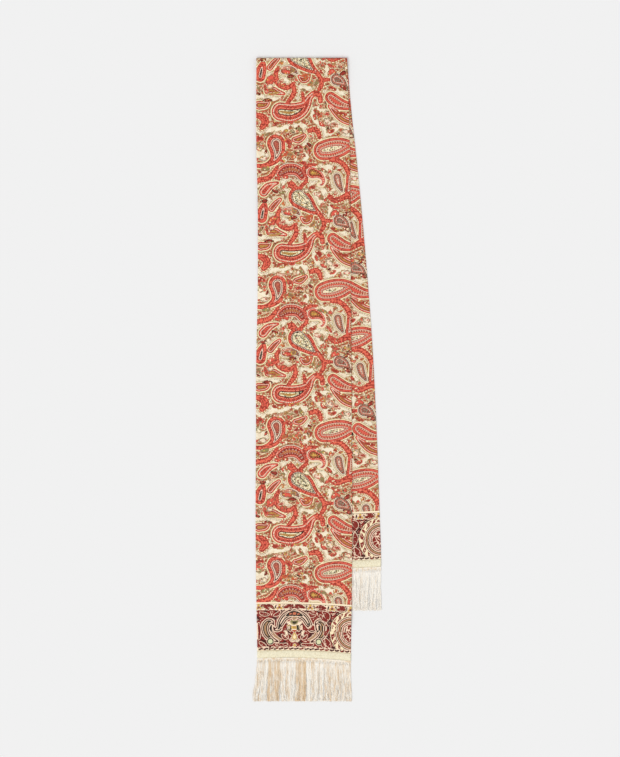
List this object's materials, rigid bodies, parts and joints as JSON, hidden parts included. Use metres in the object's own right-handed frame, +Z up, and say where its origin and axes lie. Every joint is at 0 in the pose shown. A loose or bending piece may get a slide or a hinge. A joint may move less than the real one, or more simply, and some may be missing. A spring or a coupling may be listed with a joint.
{
  "type": "fringed silk scarf, folded over once and laid flat",
  "caption": "Long narrow printed silk scarf, pressed flat and folded over once, with hem bands and fringed ends, lying on a surface.",
  "frame": {"origin": "on the surface that the scarf lies on, under the middle of its bounding box", "axes": "+Z up from the surface; +Y along the scarf towards its fold, so the fringes point to -Y; +X to the side that the under flap swings out to"},
  "size_m": [0.1676, 0.8506, 0.0043],
  "materials": {
    "silk_print": "printed silk twill, red and rust paisleys on a pale cream ground, soft sheen",
    "hem_band": "plain cream silk hem, turned and pressed",
    "fringe_yarn": "fine glossy yarn in ivory and pale tan"
  },
  "bodies": {
    "root": {"silk_tube": "silk_print", "front_band": "hem_band", "back_band": "hem_band", "front_fringe": "fringe_yarn", "back_fringe": "fringe_yarn"}
  },
  "joints": []
}
